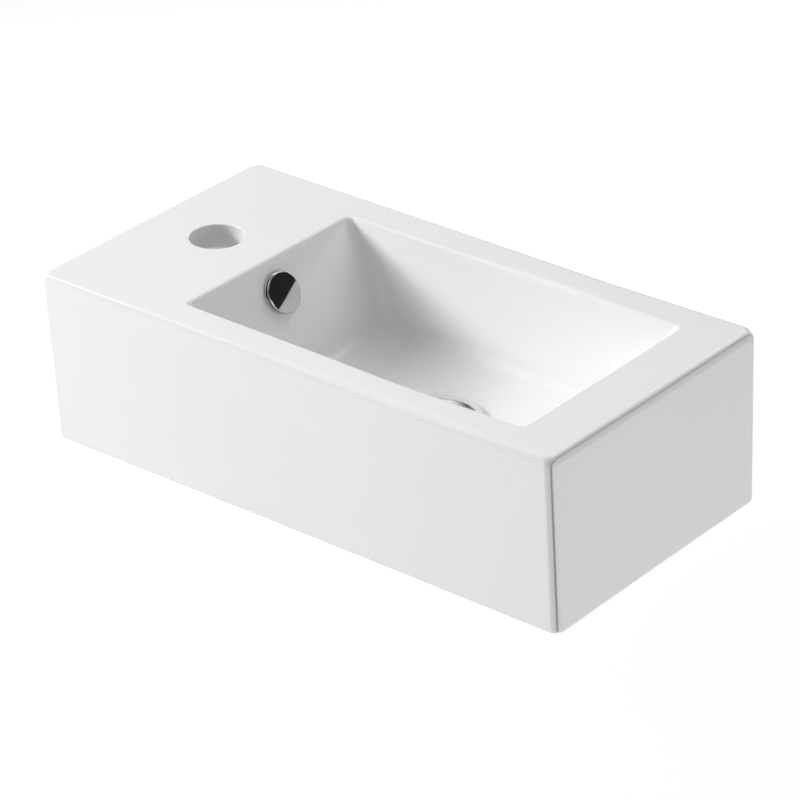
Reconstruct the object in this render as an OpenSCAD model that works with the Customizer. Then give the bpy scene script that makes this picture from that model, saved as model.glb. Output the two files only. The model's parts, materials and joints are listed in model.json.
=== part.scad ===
// Small wall-hung basin: a rectangular glazed block with a tap deck on the
// left and a rectangular bowl on the right, with its overflow cover, slotted
// push-open waste and wall fixings.
// Frame: X along the width, Y = 0 is the wall (the basin stands out towards
// -Y), Z up. The origin is on the wall face, midway between the two wall bolts.
// Heights below are measured from the underside of the basin, and every node
// is then lowered by the height of the wall bolts.

/* [Basin body] */
// Overall width
basin_w = 400; // [396:1:410]
// Projection from the wall
basin_d = 200; // [198:1:206]
// Height of the ceramic block
basin_h = 117; // [115:1:120]
// How far the foot of the front face leans back
front_lean = 4; // [0:0.5:5]
// Thickness of the outer ceramic walls
wall_t = 11; // [9:0.5:12]
// Thickness of the tap deck
deck_t = 17; // [14:1:18]
// Radius of the top edges and the upright corners
edge_r = 6; // [4:0.5:8]
// Radius of the bottom edges
foot_r = 3; // [2:0.5:4]

/* [Bowl] */
// Left edge of the opening, from the middle of the basin
bowl_left = -97; // [-99:0.5:-95]
// Right edge of the opening, from the middle of the basin
bowl_right = 162; // [160:0.5:165]
// Width of the back rim
rim_back = 25.5; // [24:0.5:28]
// Width of the front rim
rim_front = 22.5; // [21:0.5:25]
// Slope of the left and right bowl walls from upright
side_slope = 26; // [22:1:28]
// Slope of the front and back bowl walls from upright
long_slope = 7; // [5:1:9]
// Height of the floor at the corners
corner_z = 55; // [53:0.5:57]
// Height of the floor where it meets the middle of each wall
edge_z = 50; // [49:0.5:52]
// Height of the seat of the waste
seat_z = 43; // [42:0.5:44]
// Radius where the walls run into the floor
fillet_r = 18; // [15:1:20]
// Radius of the opening's corners at the rim
bowl_corner_r = 5; // [4:1:9]
// Radius of the rolled lip round the opening
lip_r = 4; // [3:0.5:4.5]

/* [Holes] */
// Radius of the tap hole
tap_r = 17.5; // [16.5:0.5:18]
// Tap hole, from the middle of the basin
tap_x = -144; // [-146:1:-142]
// Tap hole, from the wall
tap_y = -97; // [-104:1:-94]
// Radius of the hole for the waste
waste_hole_r = 23; // [22:0.5:24]
// Radius of the overflow hole
overflow_hole_r = 11; // [10.5:0.5:11.5]
// Height of the overflow hole
overflow_z = 96.5; // [94:0.5:98]

/* [Overflow cover] */
// Radius of the round cover
cover_r = 13.3; // [12.5:0.1:15]
// Thickness of the cover's disc
cover_t = 1.7; // [1.5:0.1:2.5]
// Gap behind the disc, where the water goes in
cover_gap = 1.1; // [1:0.1:2]

/* [Waste] */
// Radius of the waste's flange
flange_r = 31.5; // [30:0.5:32.5]
// Radius of the threaded tail (G 1 1/4)
tail_r = 20.95; // [20.9:0.05:21]
// Radius of the bore of the tail
tail_bore_r = 18.6; // [18:0.1:19]
// How far the tail reaches below the basin
tail_drop = 34; // [30:1:45]
// Radius of the plug
plug_r = 21.5; // [21:0.5:23]

/* [Wall fixings] */
// Distance between the two wall bolts
bolt_gap = 200; // [190:1:210]
// Height of the wall bolts above the underside
bolt_z = 22; // [21:0.5:24]
// Radius of the bolt thread (M10)
bolt_r = 5; // [4.9:0.1:5]
// Length of the bolt beyond the wall face
bolt_reach = 60; // [50:1:70]

/* [Hidden] */
$fn = 96;

by0 = -basin_d + rim_front;               // front edge of the opening
by1 = -rim_back;                          // back edge of the opening
wx = (bowl_left + bowl_right) / 2;        // waste centre
wy = (by0 + by1) / 2;
st = tan(side_slope);
lt = tan(long_slope);
fz = corner_z + fillet_r;                 // height of the corner balls
ez = edge_z + fillet_r;
function wall_x(z) = bowl_left + (basin_h - z) * st;      // left wall at a height
function in_x(z) = (basin_h - z) * st + fillet_r / cos(side_slope);
function in_y(z) = (basin_h - z) * lt + fillet_r / cos(long_slope);
of_x = wall_x(overflow_z);                // overflow centre on the left wall
of_y = wy - 1.5;
duct_w = 30;                              // overflow channel inside the ceramic
slot_z = 21;                              // foot of the overflow slots in the waste
boss_z = 17;                              // underside of the waste boss

module place() { translate([0, 0, -bolt_z]) children(); }

// ---------------------------------------------------------------- basin body
module rounded_block() {
    hull() {
        for (x = [-1, 1]) {
            for (y = [-basin_d + edge_r, -edge_r])
                translate([x * (basin_w / 2 - edge_r), y, basin_h - edge_r]) sphere(r = edge_r, $fn = 32);
            for (y = [-basin_d + front_lean + foot_r, -foot_r])
                translate([x * (basin_w / 2 - foot_r), y, foot_r]) sphere(r = foot_r, $fn = 32);
        }
    }
}

module bowl_space() {
    hull() {
        for (x = [bowl_left + bowl_corner_r, bowl_right - bowl_corner_r])
            for (y = [by0 + bowl_corner_r, by1 - bowl_corner_r])
                translate([x, y, basin_h - 0.5]) cylinder(r = bowl_corner_r, h = 0.5, $fn = 32);
        for (x = [bowl_left + in_x(fz), bowl_right - in_x(fz)])
            for (y = [by0 + in_y(fz), by1 - in_y(fz)])
                translate([x, y, fz]) sphere(r = fillet_r, $fn = 32);
        for (x = [bowl_left + in_x(ez), bowl_right - in_x(ez)])
            translate([x, wy, ez]) sphere(r = fillet_r, $fn = 32);
        for (y = [by0 + in_y(ez), by1 - in_y(ez)])
            translate([wx, y, ez]) sphere(r = fillet_r, $fn = 32);
        translate([wx, wy, seat_z]) cylinder(r = flange_r + 1.5, h = 1, $fn = 64);
    }
}

module opening(gx, gy, r, z) {
    for (x = [bowl_left - gx + r, bowl_right + gx - r])
        for (y = [by0 - gy + r, by1 + gy - r])
            translate([x, y, z]) cylinder(r = r, h = 0.02, $fn = 32);
}

module lip_space() {
    k = lip_r * 0.29;
    hull() {
        opening(k, k, bowl_corner_r + k, basin_h - k);
        opening(-lip_r * st - 0.3, -lip_r * lt - 0.3, bowl_corner_r + 1.2, basin_h - lip_r);
    }
    hull() {
        opening(lip_r, lip_r, bowl_corner_r + lip_r, basin_h);
        opening(k, k, bowl_corner_r + k, basin_h - k);
    }
}

// outside of the bowl, seen from underneath
module bowl_shell() {
    r = 8;
    cz = edge_z - 10 + r;
    dx = (basin_h - cz) * st - wall_t / cos(side_slope) + r / cos(side_slope);
    hull() {
        translate([bowl_left - wall_t / cos(side_slope), -basin_d + wall_t - 2, basin_h - 3])
            cube([bowl_right - bowl_left + 2 * wall_t / cos(side_slope), basin_d - 2 * wall_t + 4, 1]);
        for (x = [bowl_left + dx, bowl_right - dx])
            translate([x, -wall_t + 2, cz]) rotate([90, 0, 0]) cylinder(r = r, h = basin_d - 2 * wall_t + 4, $fn = 32);
        translate([wx, wy, seat_z - 10]) cylinder(r = flange_r + 2, h = 2, $fn = 64);
    }
}

module duct(side, a, b) {
    translate([0, of_y + side / 2, 0]) rotate([90, 0, 0]) linear_extrude(height = side)
        polygon([for (p = a) p, for (i = [len(b) - 1:-1:0]) b[i]]);
}

// water way from the overflow down to the waste
module duct_space() {
    duct(duct_w,
         [[wall_x(108) - 10, 108], [wall_x(50) - 10, 50], [-70, 40], [wx - 20, 34]],
         [[wall_x(108) - 20, 108], [wall_x(48) - 21, 48], [-74, 29.5], [wx - 20, 24]]);
}

module duct_walls() {
    duct(duct_w + 14,
         [[wall_x(112) - 3, 112], [wall_x(50) - 3, 50], [-66, 44], [wx - 10, 40]],
         [[wall_x(106) - 27.5, 112], [wall_x(106) - 27.5, 106], [wall_x(46) - 28.5, 46], [-77.5, 22.5], [wx - 10, boss_z]]);
}

module basin_body() {
    color("white") place() difference() {
        rounded_block();
        // hollow underside
        difference() {
            translate([-basin_w / 2 + wall_t, -basin_d + wall_t + front_lean, -1])
                cube([basin_w - 2 * wall_t, basin_d - 2 * wall_t - front_lean, basin_h - deck_t + 1]);
            bowl_shell();
            duct_walls();
            translate([wx, wy, boss_z]) cylinder(r = flange_r + 3.5, h = 30);
        }
        bowl_space();
        lip_space();
        translate([tap_x, tap_y, basin_h - deck_t - 1]) cylinder(r = tap_r, h = deck_t + 2);
        translate([wx, wy, 0]) cylinder(r = waste_hole_r, h = seat_z + 2);
        translate([of_x, of_y, overflow_z]) rotate([0, 90 - side_slope, 0])
            translate([0, 0, -12]) cylinder(r = overflow_hole_r, h = 16);
        duct_space();
        for (s = [-1, 1])
            translate([s * bolt_gap / 2, 1, bolt_z]) rotate([90, 0, 0]) cylinder(r = 8, h = wall_t + 2);
    }
}

// ------------------------------------------------------------ overflow cover
module on_left_wall() {
    place() translate([of_x, of_y, overflow_z]) rotate([0, 90 - side_slope, 0]) children();
}

cap_z = 1.5 + cover_gap;                  // back of the disc above the bowl wall

module overflow_cap() {
    color("silver") on_left_wall() union() {
        // shallow dome with a rolled edge
        rotate_extrude() polygon([
            [0, cap_z], [cover_r - 0.5, cap_z], [cover_r, cap_z + 0.4], [cover_r, cap_z + cover_t - 0.8],
            [cover_r - 0.25, cap_z + cover_t - 0.25], [cover_r - 0.7, cap_z + cover_t],
            for (k = [5:-1:0]) [(cover_r - 0.7) * k / 6, cap_z + cover_t + 0.5 * (1 - pow(k / 6, 2))]]);
        translate([0, 0, -6]) cylinder(r = 2, h = 6 + cap_z + 0.2);
    }
}

module overflow_insert() {
    color("silver") on_left_wall() union() {
        difference() {
            union() {
                translate([0, 0, 0.5]) cylinder(r = cover_r, h = 1);
                translate([0, 0, -9]) cylinder(r = overflow_hole_r - 1, h = 9.6);
            }
            translate([0, 0, -10]) cylinder(r = overflow_hole_r - 2.2, h = 14);
        }
        // three arms carry the hub that grips the stem of the cap
        difference() {
            union() {
                for (a = [90, 210, 330]) rotate([0, 0, a]) translate([0, -0.8, -6]) cube([overflow_hole_r - 1.5, 1.6, 5]);
                translate([0, 0, -6]) cylinder(r = 3.6, h = 5);
            }
            translate([0, 0, -7]) cylinder(r = 2.03, h = 8);
        }
        // stand-off pads behind the disc
        for (a = [30, 150, 270]) rotate([0, 0, a])
            translate([overflow_hole_r - 0.6, -1.2, 1.4]) cube([1.6, 2.4, cap_z - 1.4]);
    }
}

module overflow_seal() {
    color("dimgray") on_left_wall() union() {
        difference() {
            cylinder(r = cover_r - 0.5, h = 0.5);
            translate([0, 0, -1]) cylinder(r = overflow_hole_r - 0.95, h = 3);
        }
        for (z = [-7.5, -4.5]) translate([0, 0, z]) difference() {
            cylinder(r = overflow_hole_r - 0.05, h = 1.4);
            translate([0, 0, -1]) cylinder(r = overflow_hole_r - 0.98, h = 4);
        }
        difference() {
            translate([0, 0, -8]) cylinder(r = overflow_hole_r - 0.4, h = 8.3);
            translate([0, 0, -9]) cylinder(r = overflow_hole_r - 0.97, h = 12);
        }
    }
}

// --------------------------------------------------------------------- waste
fl_z = seat_z + 1.2;                      // underside of the flange

module waste_body() {
    color("silver") place() translate([wx, wy, 0]) difference() {
        union() {
            rotate_extrude() polygon([
                [tail_bore_r, -tail_drop], [tail_r - 0.8, -tail_drop], [tail_r, -tail_drop + 0.8],
                [tail_r, -6], [tail_r - 1, -5.5], [tail_r - 1, -4.5], [tail_r, -4],
                [tail_r, slot_z - 4], [tail_r - 0.5, slot_z - 3], [tail_r - 0.5, fl_z - 5], [22.5, fl_z - 1.5], [22.5, fl_z],
                [flange_r - 0.6, fl_z], [flange_r, fl_z + 0.6], [flange_r - 0.2, fl_z + 1.2], [flange_r - 0.8, fl_z + 1.7],
                [flange_r - 1.8, fl_z + 2], [27.6, fl_z + 2], [26.6, fl_z + 1.8], [23.6, fl_z + 1.3],
                [20.2, fl_z - 0.6], [19, fl_z - 1.8], [tail_bore_r, fl_z - 3]]);
            // bridge and hub inside the tail
            intersection() {
                for (a = [45, 135]) rotate([0, 0, a]) translate([-20, -2, 7]) cube([40, 4, 6]);
                translate([0, 0, 5]) cylinder(r = tail_r - 1, h = 10);
            }
            translate([0, 0, 5]) cylinder(r = 7, h = 9);
        }
        translate([0, 0, 4]) cylinder(r = 4, h = 11);
        for (a = [0, 180]) rotate([0, 0, a]) translate([12, -10, slot_z]) cube([12, 20, 15]);
    }
}

module ring(ri, ro, z, h) {
    place() translate([wx, wy, z]) difference() {
        cylinder(r = ro, h = h);
        translate([0, 0, -1]) cylinder(r = ri, h = h + 2);
    }
}

module flange_seal() { color("white") ring(22.6, flange_r - 2.5, seat_z, 1.2); }

module tapered_washer() {
    color("dimgray") place() translate([wx, wy, 0]) rotate_extrude()
        polygon([[tail_r + 0.1, 10], [30.5, 10], [31, 10.5], [31, 13], [27.5, boss_z], [tail_r + 0.1, boss_z]]);
}

module thrust_washer() { color("ivory") ring(tail_r + 0.3, 29.5, 8.5, 1.5); }

module waste_backnut() {
    color("goldenrod") place() translate([wx, wy, -1.5]) difference() {
        union() {
            cylinder(r = 29, h = 8, $fn = 6);
            cylinder(r = 28, h = 10);
        }
        translate([0, 0, -1]) cylinder(r = tail_r + 0.06, h = 12);
    }
}

// ---------------------------------------------------------------------- plug
pc = fl_z + 0.3;                          // underside of the plug's rim when closed

module plug_cap() {
    color("silver") place() translate([wx, wy, 0]) rotate_extrude() polygon([
        [0, 37.3], [3.95, 37.3], [3.95, pc - 1], [8, pc - 1], [8, pc], [plug_r - 0.4, pc],
        [plug_r, pc + 0.4], [plug_r, pc + 1.3], [plug_r - 0.3, pc + 1.9], [plug_r - 1, pc + 2.3],
        for (k = [7:-1:0]) [(plug_r - 1) * k / 8, pc + 2.3 + 1.4 * (1 - pow(k / 8, 2))]]);
}

module plug_seal() {
    color("dimgray") place() translate([wx, wy, 0]) rotate_extrude() polygon([
        [8.1, pc], [8.1, pc - 1], [17.6, pc - 1], [17.9, pc - 1.6], [18.7, pc - 1.6], [19.8, pc - 0.7], [19.8, pc]]);
}

bz = 15.5;                                // foot of the barrel when closed
module plug_barrel() {
    color("goldenrod") place() translate([wx, wy, 0]) difference() {
        cylinder_from(7, bz, pc - 1.05);
        cylinder_from(5, bz - 1, 37);
        cylinder_from(4, 36, pc + 1);
        // groove of the clip, above the foot
        cylinder_from(6, bz + 1.7, bz + 2.9);
    }
}
module cylinder_from(r, z0, z1) { translate([0, 0, z0]) cylinder(r = r, h = z1 - z0); }

module latch_clip() {
    color("gray") place() translate([wx, wy, bz + 1.85]) union() {
        difference() {
            cylinder(r = 5.85, h = 0.9);
            translate([0, 0, -1]) cylinder(r = 5.1, h = 3);
            translate([-8, -1.5, -1]) cube([8, 3, 3]);
        }
        translate([4.25, -0.55, 0]) cube([1.2, 1.1, 0.9]);
    }
}

module latch_post() {
    color("goldenrod") place() translate([wx, wy, 0]) difference() {
        union() {
            cylinder_from(3.96, 3, 14.05);
            cylinder_from(4.6, 14.05, 22);
            cylinder_from(2, 21, 34);
        }
        // track that the clip's nib runs in
        translate([3.8, -0.9, 15]) cube([2, 1.8, 8]);
    }
}

// coil of the spring: round wire swept along a helix, with closed flat ends
sp_z0 = 22.05;
sp_z1 = 37.25;
sp_r = 3.4;
sp_wire = 0.45;
sp_turns = 7;
sp_steps = 112;
function sp_t(i) = i / sp_steps;
function sp_rise(t) = t < 0.12 ? 0.25 * t * t / 0.12
    : t > 0.88 ? 1 - 0.25 * (1 - t) * (1 - t) / 0.12
    : 0.03 + 0.94 * (t - 0.12) / 0.76;
function sp_c(i) = let (a = 360 * sp_turns * sp_t(i))
    [sp_r * cos(a), sp_r * sin(a), sp_z0 + sp_wire + (sp_z1 - sp_z0 - 2 * sp_wire) * sp_rise(sp_t(i))];
module latch_spring() {
    n = 8;
    pts = [for (i = [0:sp_steps]) let (a = 360 * sp_turns * sp_t(i), c = sp_c(i))
        for (k = [0:n - 1]) let (b = 360 * k / n)
            c + sp_wire * [cos(b) * cos(a), cos(b) * sin(a), sin(b)]];
    faces = concat(
        [[for (k = [0:n - 1]) k]],
        [for (i = [0:sp_steps - 1]) for (k = [0:n - 1]) let (j = (k + 1) % n)
            each [[i * n + k, (i + 1) * n + k, (i + 1) * n + j], [i * n + k, (i + 1) * n + j, i * n + j]]],
        [[for (k = [n - 1:-1:0]) sp_steps * n + k]]);
    color("gray") place() translate([wx, wy, 0]) polyhedron(points = pts, faces = faces);
}

// -------------------------------------------------------------- wall fixings
module at_bolts() {
    place() for (s = [-1, 1]) translate([s * bolt_gap / 2, 0, bolt_z]) rotate([-90, 0, 0]) children();
}

module wall_bolts() {
    color("silver") at_bolts() rotate_extrude() polygon([
        [0, -34], [bolt_r - 0.9, -34], [bolt_r - 0.1, -33.2], [bolt_r - 0.1, -1], [bolt_r - 0.9, -0.5],
        [bolt_r - 0.9, 1.5], [bolt_r, 2], [bolt_r, bolt_reach - 9], [0.6, bolt_reach], [0, bolt_reach]]);
}

module bolt_sleeves() {
    color("ivory") at_bolts() difference() {
        union() {
            translate([0, 0, -wall_t]) cylinder(r = 7.85, h = wall_t - 1);
            translate([0, 0, -wall_t - 3.5]) cylinder(r = 13, h = 3.5);
        }
        translate([0, 0, -20]) cylinder(r = bolt_r + 0.2, h = 30);
    }
}

module bolt_washers() {
    color("silver") at_bolts() translate([0, 0, -wall_t - 5.5]) difference() {
        cylinder(r = 12, h = 2);
        translate([0, 0, -1]) cylinder(r = bolt_r + 0.3, h = 4);
    }
}

module bolt_nuts() {
    color("silver") at_bolts() translate([0, 0, -wall_t - 13.5]) difference() {
        cylinder(r = 9.81, h = 8, $fn = 6);
        translate([0, 0, -1]) cylinder(r = bolt_r - 0.04, h = 10);
    }
}

basin_body();
overflow_cap();
overflow_insert();
overflow_seal();
waste_body();
flange_seal();
tapered_washer();
thrust_washer();
waste_backnut();
plug_cap();
plug_seal();
plug_barrel();
latch_clip();
latch_post();
latch_spring();
wall_bolts();
bolt_sleeves();
bolt_washers();
bolt_nuts();
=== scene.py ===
import json
import math

import bmesh
import bpy
import numpy as np
from mathutils import Matrix, Vector


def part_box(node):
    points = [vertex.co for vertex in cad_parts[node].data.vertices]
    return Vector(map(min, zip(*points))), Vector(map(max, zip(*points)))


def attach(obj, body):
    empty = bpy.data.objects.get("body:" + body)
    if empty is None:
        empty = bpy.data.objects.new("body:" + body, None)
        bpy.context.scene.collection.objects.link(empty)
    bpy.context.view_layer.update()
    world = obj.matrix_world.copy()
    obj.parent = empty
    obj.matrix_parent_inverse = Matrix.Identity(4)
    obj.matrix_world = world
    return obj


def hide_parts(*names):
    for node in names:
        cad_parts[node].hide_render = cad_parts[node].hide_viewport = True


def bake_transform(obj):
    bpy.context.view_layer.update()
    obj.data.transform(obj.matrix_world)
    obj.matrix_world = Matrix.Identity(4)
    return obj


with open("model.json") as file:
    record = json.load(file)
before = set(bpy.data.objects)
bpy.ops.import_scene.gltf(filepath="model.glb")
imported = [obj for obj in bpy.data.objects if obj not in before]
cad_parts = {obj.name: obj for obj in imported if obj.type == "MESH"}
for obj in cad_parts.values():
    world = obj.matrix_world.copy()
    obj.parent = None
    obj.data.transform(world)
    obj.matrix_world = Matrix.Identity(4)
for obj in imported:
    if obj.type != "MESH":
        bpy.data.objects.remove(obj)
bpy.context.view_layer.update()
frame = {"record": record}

# --------------------------------------------------------------------------
# Measures. Everything is in millimetres in the design's own heights (0 is the
# underside of the ceramic), and mm() turns it into the row frame in metres.
# --------------------------------------------------------------------------
body_lo, body_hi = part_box("basin_body")
LOW = body_lo.z * 1000.0                 # height of the underside in the row frame
W = (body_hi.x - body_lo.x) * 1000.0
D = (body_hi.y - body_lo.y) * 1000.0
H = (body_hi.z - body_lo.z) * 1000.0
LEFT, RIGHT = -97.0, 162.0
FRONT, BACK = -D + 22.5, -25.5
SIDE, LONG = math.radians(26.0), math.radians(7.0)
CORNER_Z, EDGE_Z = 55.0, 50.0
wl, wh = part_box("waste_body")
WX, WY = (wl.x + wh.x) * 500.0, (wl.y + wh.y) * 500.0
sl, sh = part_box("flange_seal")
SEAT = sl.z * 1000.0 - LOW
FLZ = sh.z * 1000.0 - LOW
EDGE_R, FOOT_R, LIP_R, LEAN, WALL = 6.0, 3.0, 4.0, 4.0, 11.0
DECK = 17.0
tm = [m for m in frame["record"]["mounts"] if m["name"] == "tap_hole"][0]
TX, TY, TR = tm["pos_m"][0] * 1000.0, tm["pos_m"][1] * 1000.0, tm["dims"]["r_mm"]
OZ = 96.5
OX = LEFT + (H - OZ) * math.tan(SIDE)
OY = WY - 1.5


def mm(p):
    return Vector((p[0] / 1000.0, p[1] / 1000.0, (p[2] + LOW) / 1000.0))


def link(obj):
    bpy.context.scene.collection.objects.link(obj)
    return obj


def mesh_object(name, verts, faces, smooth=True):
    me = bpy.data.meshes.new(name)
    me.from_pydata([tuple(v) for v in verts], [], faces)
    me.update()
    bm = bmesh.new()
    bm.from_mesh(me)
    bmesh.ops.remove_doubles(bm, verts=bm.verts, dist=1e-6)
    bmesh.ops.recalc_face_normals(bm, faces=bm.faces)
    bm.to_mesh(me)
    bm.free()
    if smooth:
        me.shade_smooth()
    return link(bpy.data.objects.new(name, me))


def apply_modifiers(obj):
    dg = bpy.context.evaluated_depsgraph_get()
    me = bpy.data.meshes.new_from_object(obj.evaluated_get(dg), depsgraph=dg)
    obj.modifiers.clear()
    old = obj.data
    obj.data = me
    bpy.data.meshes.remove(old)
    return obj


def boolean(obj, cutter, operation="DIFFERENCE"):
    m = obj.modifiers.new("cut", "BOOLEAN")
    m.operation = operation
    m.solver = "EXACT"
    m.object = cutter
    bpy.context.view_layer.update()
    apply_modifiers(obj)
    bpy.data.objects.remove(cutter)
    return obj


def sharpen(obj, degrees=32.0, weighted=True):
    me = obj.data
    me.shade_smooth()
    me.set_sharp_from_angle(angle=math.radians(degrees))
    if weighted:
        m = obj.modifiers.new("weighted", "WEIGHTED_NORMAL")
        m.keep_sharp = True
        m.weight = 50
        m.mode = "FACE_AREA_WITH_ANGLE"
    return obj


def arc(cx, cy, r, a0, a1, n):
    """n + 1 points on an arc, angles in degrees."""
    return [(cx + r * math.cos(math.radians(a0 + (a1 - a0) * i / n)),
             cy + r * math.sin(math.radians(a0 + (a1 - a0) * i / n))) for i in range(n + 1)]


def rounded_profile(points, radii, steps=6):
    """A polygon's corners rounded with true tangent arcs. points are (r, z)."""
    out = []
    n = len(points)
    for i, (p, rad) in enumerate(zip(points, radii)):
        if not rad:
            out.append(tuple(p))
            continue
        a, b = np.array(points[i - 1], float), np.array(points[(i + 1) % n], float)
        c = np.array(p, float)
        u, v = a - c, b - c
        lu, lv = np.linalg.norm(u), np.linalg.norm(v)
        u, v = u / lu, v / lv
        half = math.acos(max(-1, min(1, float(u @ v)))) / 2
        t = min(rad / math.tan(half), lu * 0.49, lv * 0.49)
        r = t * math.tan(half)
        centre = c + (u + v) / np.linalg.norm(u + v) * (r / math.sin(half))
        s, e = c + u * t, c + v * t
        a0 = math.atan2(*(s - centre)[::-1])
        a1 = math.atan2(*(e - centre)[::-1])
        d = (a1 - a0 + math.pi) % (2 * math.pi) - math.pi
        for k in range(steps + 1):
            w = a0 + d * k / steps
            out.append((centre[0] + r * math.cos(w), centre[1] + r * math.sin(w)))
    return out


def lathe(name, profile, segments=96, closed=True, place=None, angle=32.0):
    """Turned piece from a closed (r, z) profile in millimetres, about its own axis.
    place maps a local point (x, y, z) in mm to the row frame."""
    place = place or mm
    bm = bmesh.new()
    rings = []
    for r, z in profile:
        if r < 1e-6:
            rings.append([bm.verts.new(place((0.0, 0.0, z)))])
        else:
            rings.append([bm.verts.new(place((r * math.cos(2 * math.pi * k / segments),
                                              r * math.sin(2 * math.pi * k / segments), z)))
                          for k in range(segments)])
    pairs = list(zip(rings, rings[1:] + ([rings[0]] if closed else [])))
    for a, b in pairs:
        if len(a) == 1 and len(b) == 1:
            continue
        for k in range(segments):
            j = (k + 1) % segments
            if len(a) == 1:
                bm.faces.new((a[0], b[k], b[j]))
            elif len(b) == 1:
                bm.faces.new((a[k], b[0], a[j]))
            else:
                bm.faces.new((a[k], b[k], b[j], a[j]))
    bmesh.ops.recalc_face_normals(bm, faces=bm.faces)
    me = bpy.data.meshes.new(name)
    bm.to_mesh(me)
    bm.free()
    obj = link(bpy.data.objects.new(name, me))
    sharpen(obj, angle)
    return obj


# --------------------------------------------------------------------------
# Ceramic block: one clean grid of loops from the waste seat up the bowl, over
# the lip and the rim, and down the outside, then the holes and the hollow
# underside are cut from it.
# --------------------------------------------------------------------------
NX, NY, NC = 56, 34, 14                  # points along a long side, a short side, a corner


def rect_loop(x0, x1, y0, y1, r):
    """Rounded rectangle, anticlockwise from the left end of the front side."""
    pts = []

    def side(a, b, n):
        for k in range(n):
            t = k / n
            pts.append((a[0] + (b[0] - a[0]) * t, a[1] + (b[1] - a[1]) * t))

    side((x0 + r, y0), (x1 - r, y0), NX)
    pts.extend(arc(x1 - r, y0 + r, r, -90, 0, NC)[:-1])
    side((x1, y0 + r), (x1, y1 - r), NY)
    pts.extend(arc(x1 - r, y1 - r, r, 0, 90, NC)[:-1])
    side((x1 - r, y1), (x0 + r, y1), NX)
    pts.extend(arc(x0 + r, y1 - r, r, 90, 180, NC)[:-1])
    side((x0, y1 - r), (x0, y0 + r), NY)
    pts.extend(arc(x0 + r, y0 + r, r, 180, 270, NC)[:-1])
    return pts


def fillet_points(a, b, c, r, n, share=0.48):
    """n + 1 points on the arc of radius r tangent to a-b and b-c (3-D)."""
    a, b, c = Vector(a), Vector(b), Vector(c)
    u, v = (a - b), (c - b)
    lu, lv = u.length, v.length
    u.normalize(), v.normalize()
    ang = u.angle(v)
    t = min(r / math.tan(ang / 2), lu * share, lv * share)
    r = t * math.tan(ang / 2)
    mid = (u + v).normalized()
    centre = b + mid * (r / math.sin(ang / 2))
    p, q = b + u * t - centre, b + v * t - centre
    sweep = p.angle(q)
    out = []
    for k in range(n + 1):
        s = k / n
        out.append(centre + (p * math.sin((1 - s) * sweep) + q * math.sin(s * sweep)) / math.sin(sweep))
    return out


def ceramic_block():
    rim_in = rect_loop(LEFT, RIGHT, FRONT, BACK, 5.0)
    dx, dy = (H - 52.0) * math.tan(SIDE), (H - 52.0) * math.tan(LONG)
    foot = rect_loop(LEFT + dx, RIGHT - dx, FRONT + dy, BACK - dy, 16.0)
    rim_out = rect_loop(-W / 2, W / 2, -D, 0.0, EDGE_R)
    base = rect_loop(-W / 2, W / 2, -D + LEAN, 0.0, EDGE_R)
    base_in = rect_loop(-W / 2 + 12, W / 2 - 12, -D + LEAN + 12, -12.0, EDGE_R)
    n = len(rim_in)
    hx, hy = (RIGHT - LEFT) / 2 - dx, (BACK - FRONT) / 2 - dy
    seat_r = 33.0
    columns = []
    for k in range(n):
        a = (rim_in[k][0], rim_in[k][1], H)
        fx, fy = foot[k]
        # the floor's edge is highest in the corners and dips between them
        sx, sy = abs(fx - WX) / hx, abs(fy - WY) / hy
        rise = max(0.0, min(sx, sy)) ** 1.6
        fz = EDGE_Z + (CORNER_Z - EDGE_Z) * rise
        f = (fx, fy, fz)
        ang = math.atan2(fy - WY, fx - WX)
        s = (WX + seat_r * math.cos(ang), WY + seat_r * math.sin(ang), SEAT)
        o = (rim_out[k][0], rim_out[k][1], H)
        b = (base[k][0], base[k][1], 0.0)
        bi = (base_in[k][0], base_in[k][1], 0.0)
        col = []
        col.append((WX + 20 * math.cos(ang), WY + 20 * math.sin(ang), SEAT))
        col.append((WX + 29 * math.cos(ang), WY + 29 * math.sin(ang), SEAT))
        col.extend(fillet_points((WX, WY, SEAT), s, f, 6.0, 3))
        floor_a = Vector(col[-1])
        corner = fillet_points(s, f, a, 13.0, 16)
        for t in (0.2, 0.4, 0.6, 0.8):
            col.append(floor_a.lerp(corner[0], t))
        col.extend(corner)
        lip = fillet_points(f, a, o, LIP_R, 10)
        for t in (0.12, 0.3, 0.5, 0.7, 0.88):
            col.append(Vector(corner[-1]).lerp(lip[0], t))
        col.extend(lip)
        top = fillet_points(a, o, b, EDGE_R, 12)
        for t in (0.08, 0.25, 0.5, 0.75, 0.92):
            col.append(Vector(lip[-1]).lerp(top[0], t))
        col.extend(top)
        low = fillet_points(o, b, bi, FOOT_R, 8)
        for t in (0.05, 0.25, 0.5, 0.75, 0.95):
            col.append(Vector(top[-1]).lerp(low[0], t))
        col.extend(low)
        col.append(Vector(bi))
        columns.append([tuple(p) for p in col])
    rings = len(columns[0])
    verts = [mm(columns[k][i]) for i in range(rings) for k in range(n)]
    faces = [tuple(range(n))[::-1], tuple(range((rings - 1) * n, rings * n))]
    for i in range(rings - 1):
        for k in range(n):
            j = (k + 1) % n
            faces.append((i * n + k, i * n + j, (i + 1) * n + j, (i + 1) * n + k))
    return mesh_object("ceramic_block", verts, faces)


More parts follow.
